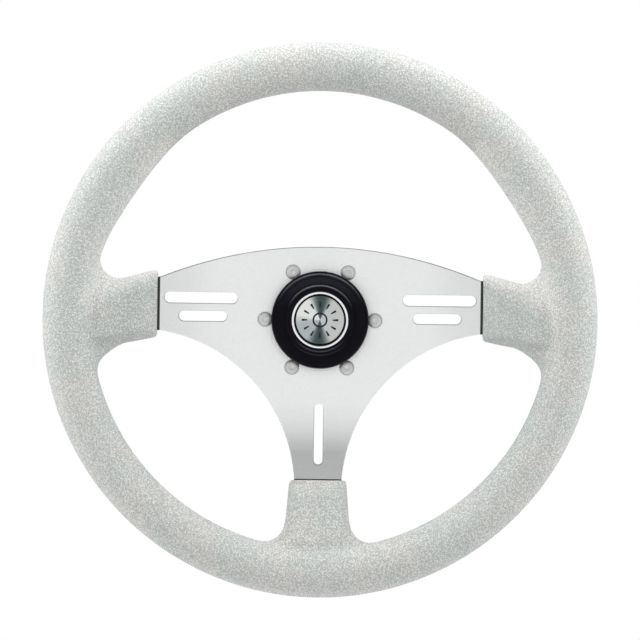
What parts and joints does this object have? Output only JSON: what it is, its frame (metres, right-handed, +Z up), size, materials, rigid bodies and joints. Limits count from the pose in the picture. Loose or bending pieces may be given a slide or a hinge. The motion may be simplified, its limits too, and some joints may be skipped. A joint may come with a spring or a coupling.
{
  "type": "boat steering wheel",
  "caption": "Three-spoke boat steering wheel with a padded grey rim, a slotted brushed aluminium plate, a black hub with a tapered bore and a domed cap.",
  "frame": {"origin": "on the shaft axis, at the hub's rear face", "axes": "-Y towards the person who steers, +Y along the shaft away from them, +Z up"},
  "size_m": [0.35, 0.0911, 0.35],
  "materials": {
    "soft_grip": "fine-grained polyurethane skin, warm grey",
    "brushed_plate": "satin silver anodising over a fine brushed grain",
    "black_seal": "matt black rubber",
    "black_hub": "black anodised, cast and turned",
    "screw_steel": "plain stainless steel",
    "cap_plastic": "satin black moulding",
    "bright_ring": "bright plated",
    "spun_disc": "spun finish, radial sheen",
    "dark_enamel": "dark blue-black enamel",
    "core_steel": "primed steel",
    "rivet_steel": "plain steel"
  },
  "bodies": {
    "root": {"rim_grip": "soft_grip", "rim_core_ring": "core_steel", "core_lug_right": "core_steel", "core_lug_left": "core_steel", "core_lug_bottom": "core_steel", "spoke_plate": "brushed_plate", "seal_right": "black_seal", "seal_left": "black_seal", "seal_bottom": "black_seal", "hub": "black_hub", "hub_cap": "cap_plastic", "cap_o_ring": "black_seal", "bezel_ring": "bright_ring", "badge_disc": "spun_disc", "badge_marks": "dark_enamel", "arm_rivet_right_1": "rivet_steel", "arm_rivet_right_2": "rivet_steel", "arm_rivet_left_1": "rivet_steel", "arm_rivet_left_2": "rivet_steel", "arm_rivet_bottom_1": "rivet_steel", "arm_rivet_bottom_2": "rivet_steel", "hub_screw_1": "screw_steel", "hub_screw_2": "screw_steel", "hub_screw_3": "screw_steel", "hub_screw_4": "screw_steel", "hub_screw_5": "screw_steel", "hub_screw_6": "screw_steel"}
  },
  "joints": []
}
